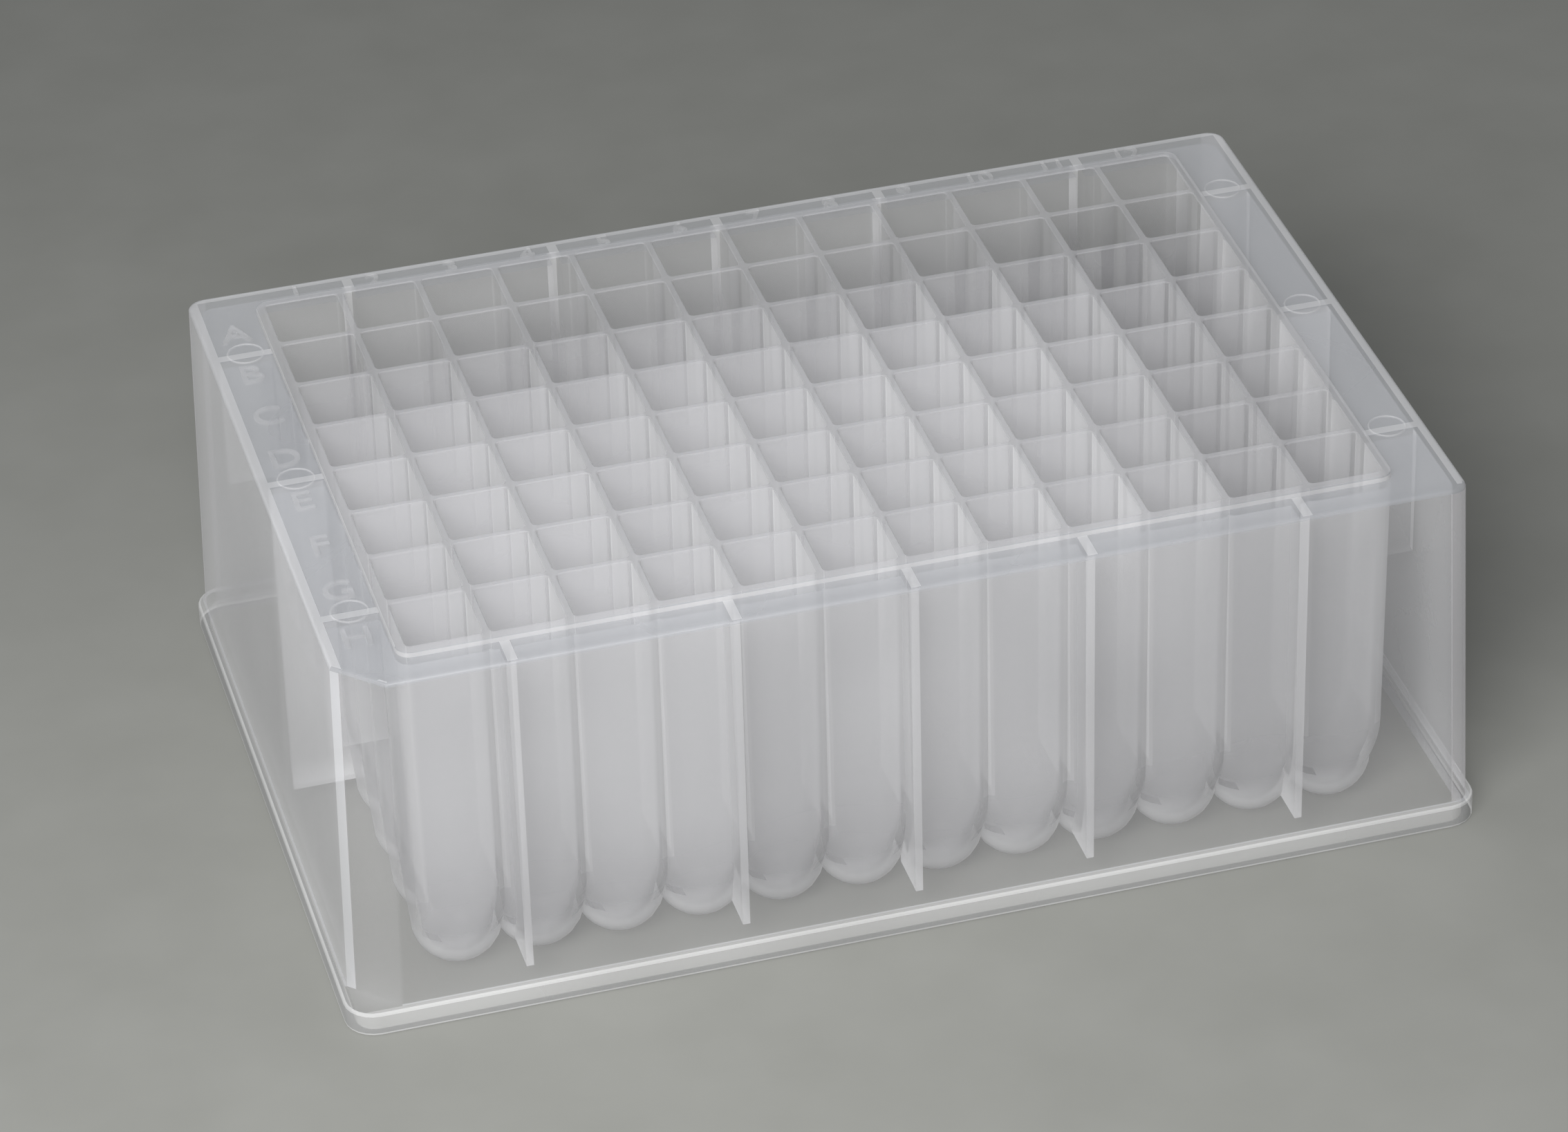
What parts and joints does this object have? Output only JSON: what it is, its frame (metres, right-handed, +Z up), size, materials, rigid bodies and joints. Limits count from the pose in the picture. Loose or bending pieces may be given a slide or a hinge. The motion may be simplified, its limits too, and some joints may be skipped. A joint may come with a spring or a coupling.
{
  "type": "well plate",
  "caption": "Deep rectangular laboratory plate in natural polypropylene: a grid of square wells with round feet under a flat deck, with a skirt and a low flange.",
  "frame": {"origin": "centre of the footprint, on the surface that the plate stands on", "axes": "+X along the rows, from column 1 to column 12; +Y from row H to row A; +Z up, out of the wells"},
  "size_m": [0.1278, 0.0854, 0.044],
  "materials": {
    "natural_polypropylene": "natural, uncoloured polypropylene: milky and translucent, with a soft satin gloss"
  },
  "bodies": {
    "root": {"well_plate": "natural_polypropylene"}
  },
  "joints": []
}
